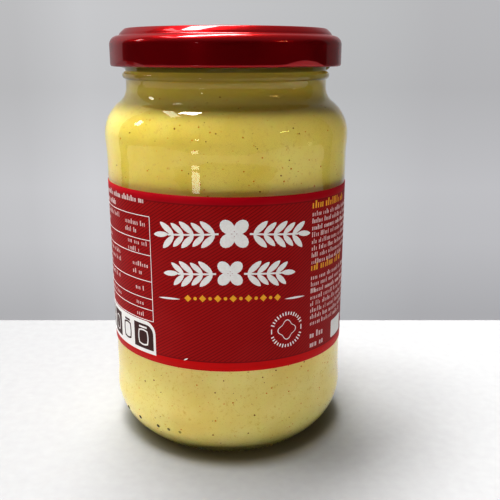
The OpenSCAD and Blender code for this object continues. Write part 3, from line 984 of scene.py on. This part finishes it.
room = {
    "floorHalf": 0.62, "floorFront": -0.36, "floorBack": 0.08,
    # painted shade: the table's first tone, on the left, is darker than the second, on the right, to even out
    # the stronger lamp light on the left
    "shadedLeft": (0.285, 0.285, 0.287, 1), "pale": (0.39, 0.39, 0.392, 1), "bounce": (0.61, 0.61, 0.61, 1),
    # painted contact shadow: a darker warm ring on the table about the jar's foot, set a little to the right
    # and front
    "paintedContactShadow": (0.16, 0.135, 0.09, 1), "contactShadowMiddle": (0.003, -0.004, 0),
    "contactShadowBand": (0.28, 0.37), "contactShadowScale": 10,
    "wallY": 0.62, "wallHalf": 1.35, "wallLow": -0.5, "wallHigh": 1.3,
    # the wall's painted glow from left to right, brighter on the left, then its painted shade from low to
    # high
    "glowTones": [
        (0.0, (0.80, 0.80, 0.82, 1)), (0.06, (0.76, 0.76, 0.78, 1)), (0.22, (0.58, 0.58, 0.59, 1)),
        (0.29, (0.59, 0.59, 0.60, 1)), (0.35, (0.655, 0.657, 0.67, 1)), (0.62, (0.585, 0.59, 0.60, 1)),
        (0.68, (0.557, 0.557, 0.57, 1)), (0.80, (0.56, 0.56, 0.575, 1)), (0.87, (0.38, 0.38, 0.39, 1)),
        (1.0, (0.30, 0.30, 0.30, 1)),
    ],
    "shades": [
        (0.09, (0.87, 0.87, 0.88, 1)), (0.28, (1.03, 1.03, 1.04, 1)), (0.42, (1.07, 1.07, 1.08, 1)),
        (0.66, (0.95, 0.95, 0.95, 1)), (0.84, (0.99, 0.99, 0.99, 1)),
    ],
    "sky": [(0.35, (0.012, 0.012, 0.012, 1)), (0.7, (0.26, 0.26, 0.26, 1))], "beyond": (0.55, 0.55, 0.56, 1),
    "gamma": 0.8,
}


def stagePlane(name, corners, material):
    bm = bmesh.new()
    bm.faces.new([bm.verts.new(corner) for corner in corners])
    mesh = bpy.data.meshes.new(name)
    bm.to_mesh(mesh)
    bm.free()
    plane = bpy.data.objects.new(name, mesh)
    bpy.context.scene.collection.objects.link(plane)
    mesh.materials.append(material)


# a pale table top with a painted contact shadow about the jar's foot and painted shade towards the left, that
# sends back more light than it shows
def floorMaterial():
    material, tree, shader = newMaterial("pale table")
    points = objectPoints(tree)
    grain = addNoise(tree, points, 300, 4.0)
    # painted shade: darker towards the left, where the lamps light the table more; the grain breaks up the
    # ramp
    shadeAcross = mathNode(tree, "MULTIPLY", splitPoint(tree, points)[0], 3)
    shadeAcrossGrain = mathNode(tree, "ADD", shadeAcross, stretch(tree, grain, 0.4, 0.3))
    paler = mixColours(tree, bandRamp(tree, shadeAcrossGrain, (0, 1)), room["shadedLeft"], room["pale"])
    # painted contact shadow about the jar's foot
    away = addNode(tree, "ShaderNodeVectorMath", {1: room["contactShadowMiddle"]}, operation="DISTANCE")
    tree.links.new(points, away.inputs[0])
    reach = mathNode(tree, "MULTIPLY", away.outputs["Value"], room["contactShadowScale"])
    paintedContactShadow = bandRamp(tree, reach, room["contactShadowBand"], white, black, "EASE")
    seen = mixColours(tree, paintedContactShadow, paler, room["paintedContactShadow"])
    bounced = addNode(tree, "ShaderNodeLightPath").outputs["Is Diffuse Ray"]
    tree.links.new(mixColours(tree, bounced, seen, room["bounce"]), shader.inputs["Base Color"])
    shader.inputs["Roughness"].default_value = 0.75
    shader.inputs["Specular IOR Level"].default_value = 0.3
    return material


def wallMaterial():
    material, tree, shader = newMaterial("glowing pale wall")
    parts = splitPoint(tree, objectPoints(tree))
    glowTone = addRamp(tree, stretch(tree, parts[0], 0.8, 0.5), room["glowTones"])
    shade = addRamp(tree, stretch(tree, parts[2], 2, 0.5), room["shades"])
    shaded = addNode(tree, "ShaderNodeVectorMath", operation="MULTIPLY")
    tree.links.new(glowTone, shaded.inputs[0])
    tree.links.new(shade, shaded.inputs[1])
    # the wall glows: painted light on the backdrop, which also lights the jar from behind
    glow = addNode(tree, "ShaderNodeEmission", {"Strength": 1.0})
    tree.links.new(shaded.outputs[0], glow.inputs[0])
    tree.links.new(glow.outputs[0], tree.nodes["Material Output"].inputs["Surface"])
    return material


left, right = -room["floorHalf"], room["floorHalf"]
front, back = room["floorFront"], room["floorBack"]
stagePlane("floor", [(left, front, 0), (right, front, 0), (right, back, 0), (left, back, 0)], floorMaterial())
left, right, wallY = -room["wallHalf"], room["wallHalf"], room["wallY"]
foot, head = room["wallLow"], room["wallHigh"]
stagePlane("backdrop", [(left, wallY, foot), (right, wallY, foot), (right, wallY, head), (left, wallY, head)],
           wallMaterial())

lamps = (
    {"name": "ceiling panel", "place": (-0.19, 0.18, 1.2), "size": (0.85, 0.26), "watts": 24},
    {"name": "rear ceiling lamp", "place": (-0.20, 0.40, 1.2), "size": (0.4, 0.25), "watts": 8,
     "glossy": False},
    {"name": "front ceiling lamp", "place": (-0.03, -0.28, 1.2), "size": (0.25, 0.25), "watts": 8.2,
     "glossy": False},
    {"name": "left ceiling lamp", "place": (-0.62, 0.03, 1.1), "size": (0.45, 0.13), "watts": 1.2},
    {"name": "left wall", "place": (-0.80, -0.60, 0.45), "size": (0.7, 0.5), "watts": 0.8, "glossy": False},
    {"name": "left window", "place": (-1.55, 0.18, 0.92), "size": (0.2, 0.3), "watts": 1.9},
    {"name": "warm lamp", "place": (1.14, -0.70, 0.68), "size": (0.28, 0.05), "watts": 0.9,
     "colour": (1.0, 0.62, 0.26), "diffuse": False},
    {"name": "left card", "place": (-0.116, -0.25, 0.039), "size": (0.031, 0.013), "watts": 0.008},
    {"name": "left glint", "place": (-0.46, -1.0, 0.28), "size": (0.06, 0.05), "watts": 0.12},
    {"name": "right strip", "place": (1.1, -0.15, -0.12), "size": (0.12, 0.3), "watts": 0.12},
)
lampAim = Vector((0, 0, 0.07))
for lamp in lamps:
    data = bpy.data.lights.new(lamp["name"], "AREA")
    data.shape = "RECTANGLE"
    data.size, data.size_y = lamp["size"]
    data.energy = lamp["watts"]
    data.color = lamp.get("colour", (1, 1, 1))
    light = bpy.data.objects.new(lamp["name"], data)
    bpy.context.scene.collection.objects.link(light)
    light.location = lamp["place"]
    light.rotation_euler = (lampAim - Vector(lamp["place"])).to_track_quat("-Z", "Y").to_matrix().to_euler()
    light.visible_camera = False
    light.visible_glossy = lamp.get("glossy", True)
    light.visible_diffuse = lamp.get("diffuse", True)

# light from the rest of the room: dim below, brighter overhead, pale where it is seen
world = bpy.data.worlds.new("room light")
bpy.context.scene.world = world
world.use_nodes = True
tree = world.node_tree
beyond = addNode(tree, "ShaderNodeBackground", {"Color": room["beyond"]})
dim = tree.nodes["Background"]
skyward = splitPoint(tree, addNode(tree, "ShaderNodeTexCoord").outputs["Generated"])[2]
tree.links.new(addRamp(tree, skyward, room["sky"]), dim.inputs["Color"])
mix = addNode(tree, "ShaderNodeMixShader")
tree.links.new(addNode(tree, "ShaderNodeLightPath").outputs["Is Camera Ray"], mix.inputs[0])
tree.links.new(dim.outputs[0], mix.inputs[1])
tree.links.new(beyond.outputs[0], mix.inputs[2])
tree.links.new(mix.outputs[0], tree.nodes["World Output"].inputs["Surface"])
bpy.context.scene.view_settings.view_transform = "Standard"
bpy.context.scene.view_settings.gamma = room["gamma"]
print("mustard jar: stage and lights set")
